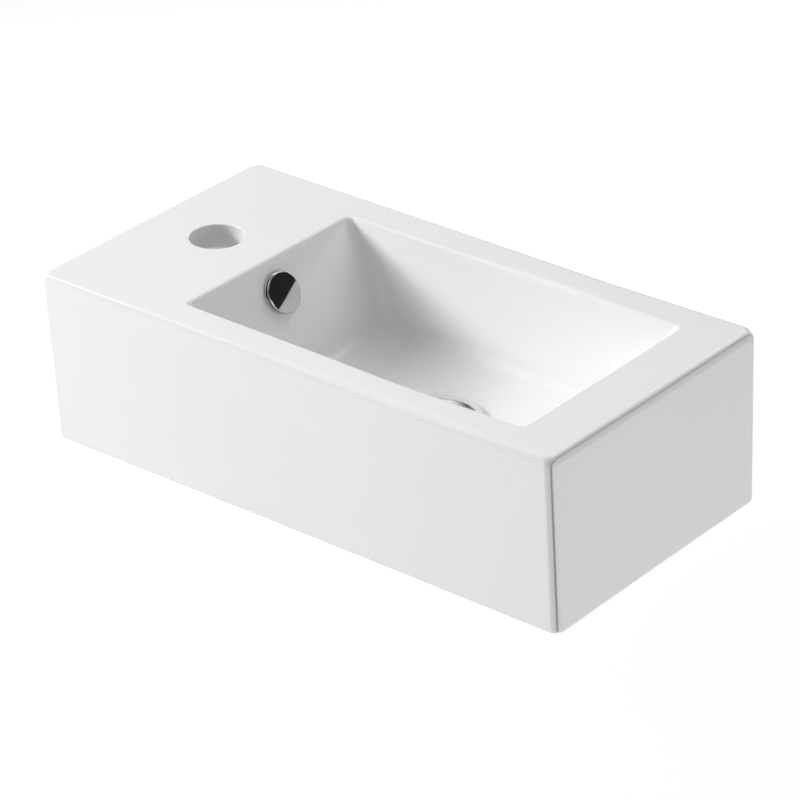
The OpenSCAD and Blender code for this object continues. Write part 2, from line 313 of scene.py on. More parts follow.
def box_mesh(name, lo, hi, bevel=0.0, segments=4):
    v = [(x, y, z) for x in (lo[0], hi[0]) for y in (lo[1], hi[1]) for z in (lo[2], hi[2])]
    f = [(0, 1, 3, 2), (4, 6, 7, 5), (0, 4, 5, 1), (2, 3, 7, 6), (0, 2, 6, 4), (1, 5, 7, 3)]
    obj = mesh_object(name, [mm(p) for p in v], f)
    if bevel:
        m = obj.modifiers.new("bevel", "BEVEL")
        m.width = bevel / 1000.0
        m.segments = segments
        m.limit_method = "NONE"
        apply_modifiers(obj)
    return obj


def prism(name, outline, y0, y1, bevel=0.0):
    """Outline in (x, z), between two values of y."""
    n = len(outline)
    verts = [mm((x, y0, z)) for x, z in outline] + [mm((x, y1, z)) for x, z in outline]
    faces = [tuple(range(n)), tuple(range(2 * n - 1, n - 1, -1))]
    faces += [(k, n + k, n + (k + 1) % n, (k + 1) % n) for k in range(n)]
    obj = mesh_object(name, verts, faces)
    if bevel:
        m = obj.modifiers.new("bevel", "BEVEL")
        m.width = bevel / 1000.0
        m.segments = 3
        m.limit_method = "ANGLE"
        m.angle_limit = math.radians(20)
        apply_modifiers(obj)
    return obj


def hull_mesh(name, points, bevel=0.0):
    bm = bmesh.new()
    for p in points:
        bm.verts.new(mm(p))
    out = bmesh.ops.convex_hull(bm, input=bm.verts)
    bmesh.ops.delete(bm, geom=list({g for g in out["geom_interior"] + out["geom_unused"]
                                    if isinstance(g, bmesh.types.BMVert)}), context="VERTS")
    bmesh.ops.dissolve_limit(bm, angle_limit=math.radians(0.5), verts=bm.verts, edges=bm.edges)
    bmesh.ops.recalc_face_normals(bm, faces=bm.faces)
    me = bpy.data.meshes.new(name)
    bm.to_mesh(me)
    bm.free()
    return link(bpy.data.objects.new(name, me))


def on_wall(p):
    """A point of the overflow's own frame (axis out of the bowl's left wall)."""
    m = Matrix.Translation((OX, OY, OZ)) @ Matrix.Rotation(math.radians(90.0) - SIDE, 4, "Y")
    return mm(m @ Vector(p))


def wall_x(z):
    return LEFT + (H - z) * math.tan(SIDE)


def underside():
    """The hollow under the bowl and the deck, as one cutter."""
    hollow = box_mesh("hollow", (-W / 2 + WALL, -D + WALL + LEAN, -30.0), (W / 2 - WALL, -WALL, H - DECK), 5.0)
    cs, y0, y1 = math.cos(SIDE), -D + 4.0, -4.0
    r = 8.0
    cz = EDGE_Z - 10 + r
    dx = (H - cz) * math.tan(SIDE) - WALL / cs + r / cs
    pts = [(x, y, z) for x in (LEFT - WALL / cs, RIGHT + WALL / cs) for y in (y0, y1) for z in (H - 2.0,)]
    for x in (LEFT + dx, RIGHT - dx):
        for a in range(0, 360, 12):
            for y in (y0, y1):
                pts.append((x + r * math.cos(math.radians(a)), y, cz + r * math.sin(math.radians(a))))
    for a in range(0, 360, 6):
        pts.append((WX + 33.5 * math.cos(math.radians(a)), WY + 33.5 * math.sin(math.radians(a)), SEAT - 10))
    shell = hull_mesh("shell", pts)
    boolean(hollow, shell)
    side = 22.0
    walls = prism("walls", [(wall_x(112) - 3, 112), (wall_x(50) - 3, 50), (-66, 44), (WX - 10, 40),
                            (WX - 10, 17.0), (-77.5, 22.5), (wall_x(46) - 28.5, 46),
                            (wall_x(106) - 27.5, 106), (wall_x(106) - 27.5, 112)], OY - side, OY + side, 1.5)
    boolean(hollow, walls)
    boss = lathe("boss", [(0, 17.0)] + rounded_profile([(35.0, 17.0)], [0]) + [(36.0, 20.0), (37.5, 60.0), (0, 60.0)],
                 96, place=lambda p: mm((p[0] + WX, p[1] + WY, p[2])))
    boss.modifiers.clear()
    boolean(hollow, boss)
    return hollow


def at_waste(p):
    return mm((p[0] + WX, p[1] + WY, p[2]))


def basin():
    obj = ceramic_block()
    boolean(obj, underside())
    # tap hole with a soft glazed edge above and below
    tap = lathe("tap_cut", [(0, H - DECK - 20), (TR + 6, H - DECK - 20), (TR + 6, H - DECK - 0.2),
                            (TR + 1.6, H - DECK - 0.2), (TR, H - DECK + 1.2)]
                + [(TR + 0.6 - 0.6 * math.cos(math.radians(a)), H - 0.6 + 0.6 * math.sin(math.radians(a)))
                   for a in (0, 15, 30, 45, 60, 75, 88)]
                + [(TR + 0.6, H + 5), (0, H + 5)], 128,
                place=lambda p: mm((p[0] + TX, p[1] + TY, p[2])))
    tap.modifiers.clear()
    boolean(obj, tap)
    waste = lathe("waste_cut", [(0, -5), (23.0 + 1.5, -5), (23.0 + 1.5, 17.0), (23.0, 18.5), (23.0, SEAT - 1.0),
                                (23.3, SEAT - 0.3), (24.0, SEAT + 0.001), (24.0, SEAT + 4), (0, SEAT + 4)],
                  128, place=at_waste)
    waste.modifiers.clear()
    boolean(obj, waste)
    over = lathe("overflow_cut", [(0, -13.0), (11.0, -13.0), (11.0, -1.0), (11.3, -0.3), (12.0, 0.001), (12.0, 6.0), (0, 6.0)],
                 96, place=on_wall)
    over.modifiers.clear()
    boolean(obj, over)
    channel = prism("channel_cut", [(wall_x(108) - 10, 108), (wall_x(50) - 10, 50), (-70, 40), (WX - 20, 34),
                                    (WX - 20, 24), (-74, 29.5), (wall_x(48) - 21, 48), (wall_x(108) - 20, 108)],
                    OY - 15.0, OY + 15.0)
    boolean(obj, channel)
    for s in (-1, 1):
        bolt = lathe("bolt_cut", [(0, -5), (8.0, -5), (8.0, 16), (0, 16)], 64,
                     place=lambda p, s=s: mm((s * 100.0 + p[0], 3.0 - p[2], 22.0 + p[1])))
        bolt.modifiers.clear()
        boolean(obj, bolt)
    obj.name = obj.data.name = "glazed_basin"
    sharpen(obj, 30.0)
    return obj


# --------------------------------------------------------------------------
# Turned and threaded pieces
# --------------------------------------------------------------------------
def ridge(p):
    """Depth of a thread's groove, 0 at the crest and 1 at the root, over one pitch."""
    p = p % 1.0
    if p < 0.14:
        return 0.0
    if p < 0.46:
        return (p - 0.14) / 0.32
    if p < 0.62:
        return 1.0
    return 1.0 - (p - 0.62) / 0.38


def turned(name, profile, threads=(), segments=96, place=mm, angle=32.0):
    """Closed (r, z) profile. threads are (z0, z1, pitch, depth, r): on the straight
    stretch of the profile at radius r, a groove of that depth is cut between z0 and
    z1, inwards, or outwards if the depth is negative."""
    rows = []
    n = len(profile)
    for i in range(n):
        a, b = profile[i], profile[(i + 1) % n]
        rows.append((a[0], a[1], None))
        lo, hi = min(a[1], b[1]), max(a[1], b[1])
        for t in threads:
            z0, z1, pitch, depth, r = t
            if abs(a[0] - r) > 0.01 or abs(b[0] - r) > 0.01 or min(hi, z1) - max(lo, z0) < pitch:
                continue
            s0, s1 = max(lo, z0), min(hi, z1)
            steps = max(8, int(round((s1 - s0) / pitch * 9)))
            zs = [s0 + (s1 - s0) * k / steps for k in range(steps + 1)]
            if a[1] > b[1]:
                zs.reverse()
            rows.extend((r, z, t) for z in zs if lo + 1e-4 < z < hi - 1e-4)
    verts, rings = [], []
    for r, z, t in rows:
        ring = []
        for k in range(segments):
            a = 2 * math.pi * k / segments
            rr = r
            if t:
                z0, z1, pitch, depth, _ = t
                fade = max(0.0, min(1.0, (z - z0) / pitch, (z1 - z) / pitch))
                rr = r - depth * ridge(z / pitch - a / (2 * math.pi)) * fade
            ring.append(len(verts))
            verts.append(place((rr * math.cos(a), rr * math.sin(a), z)))
            if r < 1e-6:
                break
        rings.append(ring)
    faces = []
    for i in range(len(rings)):
        a, b = rings[i], rings[(i + 1) % len(rings)]
        if len(a) == 1 and len(b) == 1:
            continue
        for k in range(segments):
            j = (k + 1) % segments
            if len(a) == 1:
                faces.append((a[0], b[k], b[j]))
            elif len(b) == 1:
                faces.append((a[k], b[0], a[j]))
            else:
                faces.append((a[k], b[k], b[j], a[j]))
    obj = mesh_object(name, verts, faces)
    sharpen(obj, angle)
    return obj


def hexagon(name, r, z0, z1, chamfer, bore, place, pitch=None, depth=0.0, collar=None):
    """Chamfered hexagon nut, r to its corners, with a threaded bore."""
    flat = r * math.cos(math.radians(30))
    outline = [(r * math.cos(math.radians(60 * k)), r * math.sin(math.radians(60 * k))) for k in range(6)]
    verts = [place((x, y, z0)) for x, y in outline] + [place((x, y, z1)) for x, y in outline]
    faces = [tuple(range(5, -1, -1)), tuple(range(6, 12))] + [(k, (k + 1) % 6, 6 + (k + 1) % 6, 6 + k) for k in range(6)]
    nut = mesh_object(name, verts, faces)
    c = chamfer
    cone = lathe("cone", [(0, z0), (flat, z0), (r + 0.01, z0 + c), (r + 0.01, z1 - c), (flat, z1), (0, z1)], 96, place=place)
    cone.modifiers.clear()
    boolean(nut, cone, "INTERSECT")
    if collar:
        ring = lathe("collar", [(0, collar[1])] + rounded_profile(
            [(collar[0], collar[1]), (collar[0], collar[2])], [0, 0]) + [(0, collar[2])], 96, place=place)
        ring.modifiers.clear()
        boolean(nut, ring, "UNION")
    top = collar[2] if collar else z1
    plug = [(0, z0 - 2), (bore + 0.8, z0 - 2), (bore + 0.8, z0 - 0.001), (bore, z0 + 0.8), (bore, top - 0.8), (bore + 0.8, top + 0.001), (bore + 0.8, top + 2), (0, top + 2)]
    if pitch:
        cut = turned("thread_cut", plug, [(z0 + 0.8, top - 0.8, pitch, -depth, bore)], 96, place)
    else:
        cut = lathe("bore_cut", plug, 96, place=place)
    cut.modifiers.clear()
    boolean(nut, cut)
    sharpen(nut, 25.0)
    return nut


def swept_wire(name, path, radius, sides=12, place=mm):
    """Round wire along a path of (x, y, z) points, with domed ends."""
    pts = [Vector(p) for p in path]
    n = len(pts)
    verts, faces = [], []
    tang = []
    for i in range(n):
        a, b = pts[max(0, i - 1)], pts[min(n - 1, i + 1)]
        tang.append((b - a).normalized())
    ref = Vector((0, 0, 1)) if abs(tang[0].z) < 0.9 else Vector((1, 0, 0))
    u = tang[0].cross(ref).normalized()
    rings = []

    def ring(c, t, u, s):
        w = t.cross(u).normalized()
        idx = []
        for k in range(sides):
            a = 2 * math.pi * k / sides
            idx.append(len(verts))
            verts.append(place(c + (u * math.cos(a) + w * math.sin(a)) * s))
        rings.append(idx)

    for q, s in ((0.9, 0.43), (0.6, 0.8)):
        ring(pts[0] - tang[0] * radius * q, tang[0], u, radius * s)
    for i in range(n):
        u = (u - tang[i] * u.dot(tang[i])).normalized()
        ring(pts[i], tang[i], u, radius)
    for q, s in ((0.6, 0.8), (0.9, 0.43)):
        ring(pts[-1] + tang[-1] * radius * q, tang[-1], u, radius * s)
    for a, b in zip(rings, rings[1:]):
        for k in range(sides):
            j = (k + 1) % sides
            faces.append((a[k], a[j], b[j], b[k]))
    faces.append(tuple(rings[0][::-1]))
    faces.append(tuple(rings[-1]))
    obj = mesh_object(name, verts, faces)
    sharpen(obj, 60.0, weighted=False)
    return obj


def overflow_cover():
    r, z0, t = 13.3, 2.6, 1.7
    top = z0 + t
    dome = [((r - 0.9) * k / 14.0, top + 0.5 * (1 - (k / 14.0) ** 2)) for k in range(13, -1, -1)]
    profile = ([(0, -6.0)] + [(1.7, -6.0), (2.0, -5.7), (2.0, z0 - 0.4), (2.4, z0)]
               + arc(r - 0.45, z0 + 0.45, 0.45, -90, 0, 5) + arc(r - 0.75, top - 0.75, 0.75, 0, 84, 8) + dome)
    obj = turned("overflow_cover", profile, (), 128, on_wall, 30.0)
    return obj


def waste():
    tr, br, fr = 20.95, 18.6, 31.5
    drop = -34.0
    outer = [(br, drop + 0.4), (br + 0.4, drop), (tr - 0.9, drop), (tr, drop + 0.9), (tr, -6.0), (tr - 1, -5.5), (tr - 1, -4.5),
             (tr, -4.0), (tr, 17.0), (tr - 0.5, 18.0), (tr - 0.5, FLZ - 5), (22.5, FLZ - 1.5), (22.5, FLZ), (fr - 0.5, FLZ)]
    outer += arc(fr - 0.95, FLZ + 1.05, 0.95, -25, 78, 10)
    outer += [(29.0, FLZ + 2.0)] + arc(27.3, FLZ + 1.2, 0.8, 90, 125, 4)
    outer += [(25.2, FLZ + 1.25), (23.6, FLZ + 1.05)]
    outer += [(21.6, FLZ + 0.35), (20.2, FLZ - 0.6), (19.2, FLZ - 1.7), (br + 0.1, FLZ - 3.0), (br, FLZ - 3.6)]
    body = turned("waste", outer, [(drop + 0.9, -6.0, 2.309, 0.9, tr), (-4.0, 17.0, 2.309, 0.9, tr)], 128, at_waste, 28.0)
    body.modifiers.clear()
    for a in (0, 180):
        m = Matrix.Rotation(math.radians(a), 4, "Z")
        slot = box_mesh("slot_cut", (0, 0, 0), (1, 1, 1))
        co = [m @ Vector(p) for p in [(x, y, z) for x in (12.0, 24.0) for y in (-10.0, 10.0) for z in (21.0, 36.0)]]
        for v, c in zip(sorted(slot.data.vertices, key=lambda v: (v.co.x, v.co.y, v.co.z)), co):
            v.co = at_waste(c)
        bev = slot.modifiers.new("b", "BEVEL")
        bev.width = 0.002
        bev.segments = 4
        bev.limit_method = "ANGLE"
        apply_modifiers(slot)
        boolean(body, slot)
    for a in (45, 135):
        c, s = math.cos(math.radians(a)), math.sin(math.radians(a))
        section = [(-1.4, 7.0), (1.4, 7.0), (2.0, 7.8), (2.0, 12.2), (1.4, 13.0), (-1.4, 13.0), (-2.0, 12.2), (-2.0, 7.8)]
        verts = [at_waste((l * c - w * s, l * s + w * c, z)) for l in (-19.2, 19.2) for w, z in section]
        faces = [tuple(range(8)), tuple(range(15, 7, -1))] + [(k, 8 + k, 8 + (k + 1) % 8, (k + 1) % 8) for k in range(8)]
        boolean(body, mesh_object("arm", verts, faces), "UNION")
    hub = lathe("hub", [(0, 5.0), (6.2, 5.0), (7.0, 5.8), (7.0, 13.2), (6.2, 14.0), (0, 14.0)], 64, place=at_waste)
    hub.modifiers.clear()
    boolean(body, hub, "UNION")
    bore = lathe("hub_bore", [(0, 3.0), (4.0, 3.0), (4.0, 16.0), (0, 16.0)], 48, place=at_waste)
    bore.modifiers.clear()
    boolean(body, bore)
    sharpen(body, 28.0)
    body.name = "slotted_waste"
    return body


def ring_piece(name, ri, ro, z0, z1, round_, place=at_waste):
    return turned(name, rounded_profile([(ri, z0), (ro, z0), (ro, z1), (ri, z1)], [round_] * 4, 5), (), 96, place)


def plug():
    pc, r = FLZ + 0.3, 21.5
    top = pc + 2.3
    dome = [((r - 1.2) * k / 16.0, top + 1.4 * (1 - (k / 16.0) ** 2)) for k in range(15, -1, -1)]
    profile = [(0, 37.3), (3.6, 37.3), (3.95, 37.7), (3.95, pc - 1), (7.7, pc - 1), (8.0, pc - 0.7), (8.0, pc)]
    profile += arc(r - 0.5, pc + 0.5, 0.5, -90, 0, 5) + arc(r - 1.1, top - 1.05, 1.1, 0, 80, 9) + dome
    cap = turned("push_plug", profile, (), 128, at_waste, 30.0)
    seal = turned("plug_gasket", rounded_profile(
        [(8.1, pc), (8.1, pc - 1), (17.6, pc - 1), (17.9, pc - 1.6), (18.7, pc - 1.6), (19.8, pc - 0.7), (19.8, pc)],
        [0, 0.2, 0.1, 0.2, 0.3, 0.2, 0], 4), (), 96, at_waste)
    bz, bt = 15.5, pc - 1.05
    barrel = turned("slide_barrel", [
        (5.0, bz + 0.3), (5.3, bz), (6.6, bz), (7.0, bz + 0.4), (7.0, bz + 4.5), (6.8, bz + 4.7), (6.8, bz + 5.2), (7.0, bz + 5.4),
        (7.0, bt - 0.4), (6.6, bt), (4.4, bt), (4.0, bt - 0.4), (4.0, 37.0), (5.0, 37.0), (5.0, bz + 2.9),
        (6.0, bz + 2.9), (6.0, bz + 1.7), (5.0, bz + 1.7)], (), 64, at_waste)
    c = bz + 2.3
    path = [(5.48 * math.cos(math.radians(a)), 5.48 * math.sin(math.radians(a)), c) for a in range(-162, 163, 6)]
    clip = swept_wire("wire_clip", path, 0.36, 10, at_waste)
    nib = swept_wire("wire_nib", [(5.3, 0, c), (5.0, 0, c), (4.62, 0, c)], 0.36, 10, at_waste)
    return cap, seal, barrel, clip, nib


def post():
    body = turned("cam_post", [
        (0, 3.0), (3.4, 3.0), (3.96, 3.6), (3.96, 14.05), (4.3, 14.05), (4.6, 14.35), (4.6, 21.7), (4.3, 22.0),
        (2.0, 22.0), (2.0, 33.4), (1.5, 34.0), (0, 34.0)], (), 64, at_waste)
    body.modifiers.clear()
    track = box_mesh("track_cut", (WX + 3.8, WY - 0.9, 15.0), (WX + 6.0, WY + 0.9, 23.0))
    boolean(body, track)
    return sharpen(body, 28.0)


def spring():
    z0, z1, r, w, turns, n = 22.05, 37.25, 3.4, 0.45, 7, 280

    def rise(t):
        if t < 0.12:
            return 0.25 * t * t / 0.12
        if t > 0.88:
            return 1 - 0.25 * (1 - t) ** 2 / 0.12
        return 0.03 + 0.94 * (t - 0.12) / 0.76

    path = [(r * math.cos(2 * math.pi * turns * i / n), r * math.sin(2 * math.pi * turns * i / n),
             z0 + w + (z1 - z0 - 2 * w) * rise(i / n)) for i in range(n + 1)]
    return swept_wire("coil_spring", path, w * 0.97, 10, at_waste)


def at_bolt(s):
    return lambda p: mm((s * 100.0 + p[0], p[2], 22.0 - p[1]))


def fixings():
    out = {"wall_bolts": [], "bolt_sleeves": [], "bolt_washers": [], "bolt_nuts": []}
    for s, side in ((-1, "left"), (1, "right")):
        at = at_bolt(s)
        out["wall_bolts"].append(turned("hanger_bolt_" + side, [
            (0, -34.0), (3.9, -34.0), (4.9, -33.0), (4.9, -1.0), (4.1, -0.5), (4.1, 1.5), (5.0, 2.0), (5.0, 51.0),
            (2.2, 57.0), (0.0, 60.0)],
            [(-33.0, -1.0, 1.5, 0.85, 4.9), (3.0, 51.0, 3.6, 1.45, 5.0)], 64, at, 25.0))
        out["bolt_sleeves"].append(turned("sleeve_" + side, rounded_profile(
            [(5.2, -1.0), (5.2, -14.5), (13.0, -14.5), (13.0, -11.0), (7.85, -11.0), (7.85, -1.0)],
            [0.3, 0.5, 0.8, 0.5, 0.2, 0.7], 4), (), 64, at))
        out["bolt_washers"].append(turned("washer_" + side, rounded_profile(
            [(5.3, -16.5), (12.0, -16.5), (12.0, -14.5), (5.3, -14.5)], [0.25, 0.45, 0.25, 0.25], 4), (), 64, at))
        out["bolt_nuts"].append(hexagon("nut_" + side, 9.81, -24.5, -16.5, 0.75, 4.96, at, 1.5, 0.0))
    return out


def overflow_trim():
    """Flange, sleeve, hub on three arms and the pads that hold the cover off the wall."""
    body = turned("overflow_trim", rounded_profile(
        [(8.8, -9.0), (10.0, -9.0), (10.0, 0.5), (13.3, 0.5), (13.3, 1.5), (8.8, 1.5)],
        [0.25, 0.4, 0.0, 0.2, 0.45, 0.6], 5), (), 96, on_wall)
    body.modifiers.clear()
    for a in (90, 210, 330):
        m = Matrix.Rotation(math.radians(a), 4, "Z")
        section = [(-0.8, -5.7), (-0.5, -6.0), (0.5, -6.0), (0.8, -5.7), (0.8, -1.5), (0.4, -1.0), (-0.4, -1.0), (-0.8, -1.5)]
        verts = [on_wall(m @ Vector((l, w, z))) for l in (2.6, 9.4) for w, z in section]
        faces = [tuple(range(8)), tuple(range(15, 7, -1))] + [(k, 8 + k, 8 + (k + 1) % 8, (k + 1) % 8) for k in range(8)]
        boolean(body, mesh_object("arm", verts, faces), "UNION")
    hub = lathe("hub", [(0, -6.0), (3.3, -6.0), (3.6, -5.7), (3.6, -1.4), (3.2, -1.0), (0, -1.0)], 48, place=on_wall)
    hub.modifiers.clear()
    boolean(body, hub, "UNION")
    bore = lathe("hub_bore", [(0, -8.0), (2.08, -8.0), (2.08, 1.0), (0, 1.0)], 40, place=on_wall)
    bore.modifiers.clear()
    boolean(body, bore)
    for a in (30, 150, 270):
        m = Matrix.Rotation(math.radians(a), 4, "Z")
        outline = [(10.5, -1.2), (11.9, -1.2), (12.0, -1.1), (12.0, 1.1), (11.9, 1.2), (10.5, 1.2), (10.4, 1.1), (10.4, -1.1)]
        verts = [on_wall(m @ Vector((x, y, z))) for z in (1.4, 2.58) for x, y in outline]
        faces = [tuple(range(8)), tuple(range(15, 7, -1))] + [(k, 8 + k, 8 + (k + 1) % 8, (k + 1) % 8) for k in range(8)]
        boolean(body, mesh_object("pad", verts, faces), "UNION")
    return sharpen(body, 28.0)


def overflow_gasket():
    profile = [(12.6, 0.0), (12.8, 0.12), (12.8, 0.4), (12.7, 0.5), (10.05, 0.5), (10.05, -7.9), (10.2, -8.0), (10.4, -8.0), (10.6, -7.8)]
    for z in (-7.5, -4.5):
        profile += [(10.6, z), (10.85, z + 0.1), (10.95, z + 0.5), (10.85, z + 1.3), (10.6, z + 1.4)]
    profile += [(10.6, 0.0)]
    return turned("overflow_gasket", profile, (), 96, on_wall)


def cone_washer():
    tr = 20.95
    return turned("cone_washer", rounded_profile(
        [(tr + 0.12, 10.0), (31.0, 10.0), (31.0, 13.0), (27.5, 17.0), (tr + 0.12, 17.0)], [0.2, 0.6, 0.8, 0.5, 0.3], 5),
        (), 96, at_waste)


def backnut():
    """Hexagon with a round flange above it."""
    nut = hexagon("backnut", 29.0, -1.5, 6.5, 1.2, 21.05, at_waste, 2.309, 0.6, (28.0, 6.3, 8.5))
    return nut


def joined(name, objs):
    """Several meshes of one kind as one piece, each keeping its own shading."""
    bm = bmesh.new()
    for o in objs:
        bm.from_mesh(o.data)
    me = bpy.data.meshes.new(name)
    bm.to_mesh(me)
    bm.free()
    for o in objs:
        bpy.data.objects.remove(o)
    return link(bpy.data.objects.new(name, me))


# --------------------------------------------------------------------------
# Materials
# --------------------------------------------------------------------------
class Paint:
    """A material's node tree, built a node at a time."""

    def __init__(self, name):
        self.mat = bpy.data.materials.new(name)
        self.mat.use_nodes = True
        self.tree = self.mat.node_tree
        self.nodes, self.links = self.tree.nodes, self.tree.links
        self.nodes.clear()
        self.out = self.nodes.new("ShaderNodeOutputMaterial")
        self.coord = self.nodes.new("ShaderNodeTexCoord").outputs["Object"]

    def node(self, kind, inputs=None, **settings):
        n = self.nodes.new(kind)
        for k, v in settings.items():
            setattr(n, k, v)
        for k, v in (inputs or {}).items():
            socket = n.inputs[k]
            if isinstance(v, bpy.types.NodeSocket):
                self.links.new(v, socket)
            else:
                socket.default_value = v
        return n

    def noise(self, scale, detail=2.0, rough=0.5, coord=None):
        return self.node("ShaderNodeTexNoise", {"Vector": coord or self.coord, "Scale": scale, "Detail": detail,
                                                "Roughness": rough}).outputs["Fac"]

    def span(self, fac, lo, hi, a=0.3, b=0.7):
        return self.node("ShaderNodeMapRange", {"Value": fac, "From Min": a, "From Max": b, "To Min": lo, "To Max": hi},
                         clamp=True).outputs["Result"]

    def tint(self, fac, a, b):
        n = self.node("ShaderNodeMix", {"Factor": fac}, data_type="RGBA")
        self.links.new(fac, n.inputs[0])
        n.inputs[6].default_value = (*a, 1.0)
        n.inputs[7].default_value = (*b, 1.0)
        return n.outputs[2]

    def mix_colours(self, fac, a, b):
        n = self.node("ShaderNodeMix", {}, data_type="RGBA")
        self.links.new(fac, n.inputs[0])
        for i, v in ((6, a), (7, b)):
            if isinstance(v, bpy.types.NodeSocket):
                self.links.new(v, n.inputs[i])
            else:
                n.inputs[i].default_value = (*v, 1.0)
        return n.outputs[2]

    def maths(self, op, a, b=None, c=None):
        n = self.nodes.new("ShaderNodeMath")
        n.operation = op
        for i, v in enumerate((a, b, c)):
            if v is None:
                continue
            if isinstance(v, bpy.types.NodeSocket):
                self.links.new(v, n.inputs[i])
            else:
                n.inputs[i].default_value = v
        return n.outputs[0]

    def bump(self, height, strength, distance, normal=None):
        n = self.node("ShaderNodeBump", {"Height": height, "Strength": strength, "Distance": distance})
        if normal:
            self.links.new(normal, n.inputs["Normal"])
        return n.outputs["Normal"]

    def shader(self, **inputs):
        named = {k.replace("_", " "): v for k, v in inputs.items()}
        s = self.node("ShaderNodeBsdfPrincipled", named)
        self.links.new(s.outputs[0], self.out.inputs["Surface"])
        return self.mat


def glaze():
    """Fired white glaze over the clay, bare clay on the foot and on the face that
    meets the wall, where the glaze is wiped off before firing."""
    p = Paint("white_glaze")
    xyz = p.node("ShaderNodeSeparateXYZ", {"Vector": p.coord})
    wobble = p.maths("MULTIPLY", p.maths("SUBTRACT", p.noise(90.0, 3.0), 0.5), 0.0022)
    foot = p.node("ShaderNodeMapRange", {"Value": p.maths("ADD", xyz.outputs["Z"], wobble), "From Min": LOW / 1000 + 0.0012,
                                         "From Max": LOW / 1000 + 0.0004, "To Min": 0.0, "To Max": 1.0}, clamp=True).outputs[0]
    back = p.node("ShaderNodeMapRange", {"Value": p.maths("ADD", xyz.outputs["Y"], wobble), "From Min": -0.0012,
                                         "From Max": -0.0004, "To Min": 0.0, "To Max": 1.0}, clamp=True).outputs[0]
    bare = p.maths("MAXIMUM", foot, back)
    white = p.tint(p.noise(7.0, 3.0), (0.855, 0.857, 0.855), (0.885, 0.886, 0.882))
    clay = p.tint(p.noise(160.0, 5.0, 0.65), (0.60, 0.57, 0.51), (0.74, 0.71, 0.65))
    # painted shade: a fine dark grey line is painted on the rounding where each end face turns into the front and the
    # top, picked out by which way the surface faces
    turn = p.node("ShaderNodeSeparateXYZ", {"Vector": p.nodes[1].outputs["Normal"]})
    nx = p.maths("ABSOLUTE", turn.outputs["X"])
    nz = p.maths("MAXIMUM", turn.outputs["Z"], 0.0)
    edge = p.maths("SUBTRACT", nx, p.maths("MULTIPLY", nz, 0.0))
    painted_edge_shade = p.maths("MINIMUM", p.span(edge, 1.0, 0.0, 0.75, 0.82), p.span(edge, 0.0, 1.0, 0.61, 0.68))
    painted_edge_shade = p.maths("MULTIPLY", painted_edge_shade, p.maths("SUBTRACT", 1.0, p.maths("MULTIPLY", nz, 0.75)))
    for fac, a, b in ((p.maths("ABSOLUTE", xyz.outputs["X"]), W / 2000 - 0.0065, W / 2000 - 0.0055),
                      (p.maths("MULTIPLY", turn.outputs["Y"], -1.0), -0.25, -0.1),
                      (turn.outputs["Z"], -0.25, -0.1)):
        painted_edge_shade = p.maths("MULTIPLY", painted_edge_shade, p.span(fac, 0.0, 1.0, a, b))
    painted_edge_shade = p.maths("MULTIPLY", painted_edge_shade, p.span(p.noise(16.0, 2.0), 0.80, 1.0))
    # the painted shade line darkens the glaze colour here
    white = p.mix_colours(painted_edge_shade, white, (0.30, 0.30, 0.30))
    # painted shade: the wall of the tap hole is painted grey, as shade falls inside the hole
    dx = p.maths("SUBTRACT", xyz.outputs["X"], TX / 1000)
    dy = p.maths("SUBTRACT", xyz.outputs["Y"], TY / 1000)
    reach = p.maths("SQRT", p.maths("ADD", p.maths("MULTIPLY", dx, dx), p.maths("MULTIPLY", dy, dy)))
    hole = p.maths("MULTIPLY", p.span(reach, 1.0, 0.0, (TR + 0.25) / 1000, (TR + 0.45) / 1000),
                   p.span(xyz.outputs["Z"], 1.0, 0.0, (H + LOW - 0.45) / 1000, (H + LOW - 0.25) / 1000))
    # painted shade: the hollow under the tap deck is painted a light grey, as it lies in shade
    hollow = p.span(xyz.outputs["Z"], 1.0, 0.0, (H - DECK + LOW + 0.6) / 1000, (H - DECK + LOW + 1.0) / 1000)
    for axis, a, b in (("X", -W / 2000 + 0.004, -W / 2000 + 0.005), ("X", (LEFT - 8.0) / 1000, (LEFT - 9.0) / 1000),
                       ("Y", (-D + LEAN + 5.0) / 1000, (-D + LEAN + 6.0) / 1000), ("Y", -0.005, -0.006)):
        hollow = p.maths("MULTIPLY", hollow, p.span(xyz.outputs[axis], 0.0, 1.0, a, b))
    # painted shade colour for the wall of the tap hole
    painted_hole_shade = p.tint(p.noise(150.0, 5.0, 0.65), (0.65, 0.65, 0.65), (0.71, 0.71, 0.705))
    # painted shade colour for the hollow under the tap deck
    painted_hollow_shade = p.tint(p.noise(120.0, 5.0, 0.65), (0.77, 0.77, 0.765), (0.82, 0.82, 0.81))
    # the painted shade of the tap hole and of the hollow is mixed into the glaze colour
    white = p.mix_colours(hollow, p.mix_colours(hole, white, painted_hole_shade), painted_hollow_shade)
    hole = p.maths("MAXIMUM", hole, hollow)
    colour = p.mix_colours(bare, white, clay)
    # the tap hole and the hollow with painted shade also get the matte finish of the bare clay
    bare = p.maths("MAXIMUM", bare, hole)
    shine = p.span(p.noise(38.0, 4.0), 0.13, 0.19)
    rough = p.maths("ADD", p.maths("MULTIPLY", shine, p.maths("SUBTRACT", 1.0, bare)), p.maths("MULTIPLY", bare, 0.82))
    wave = p.bump(p.noise(24.0, 1.5, 0.4), 0.05, 0.0006)
    peel = p.bump(p.noise(210.0, 2.0), 0.035, 0.0002, wave)
    grain = p.bump(p.noise(900.0, 6.0, 0.7), 0.55, 0.0005)
    normal = p.node("ShaderNodeMix", {}, data_type="VECTOR")
    p.links.new(bare, normal.inputs[0])
    p.links.new(peel, normal.inputs[4])
    p.links.new(grain, normal.inputs[5])
    level = p.maths("SUBTRACT", 0.5, p.maths("MULTIPLY", bare, 0.35))
    return p.shader(Base_Color=colour, Roughness=rough, IOR=1.52, Specular_IOR_Level=level,
                    Normal=normal.outputs[1])


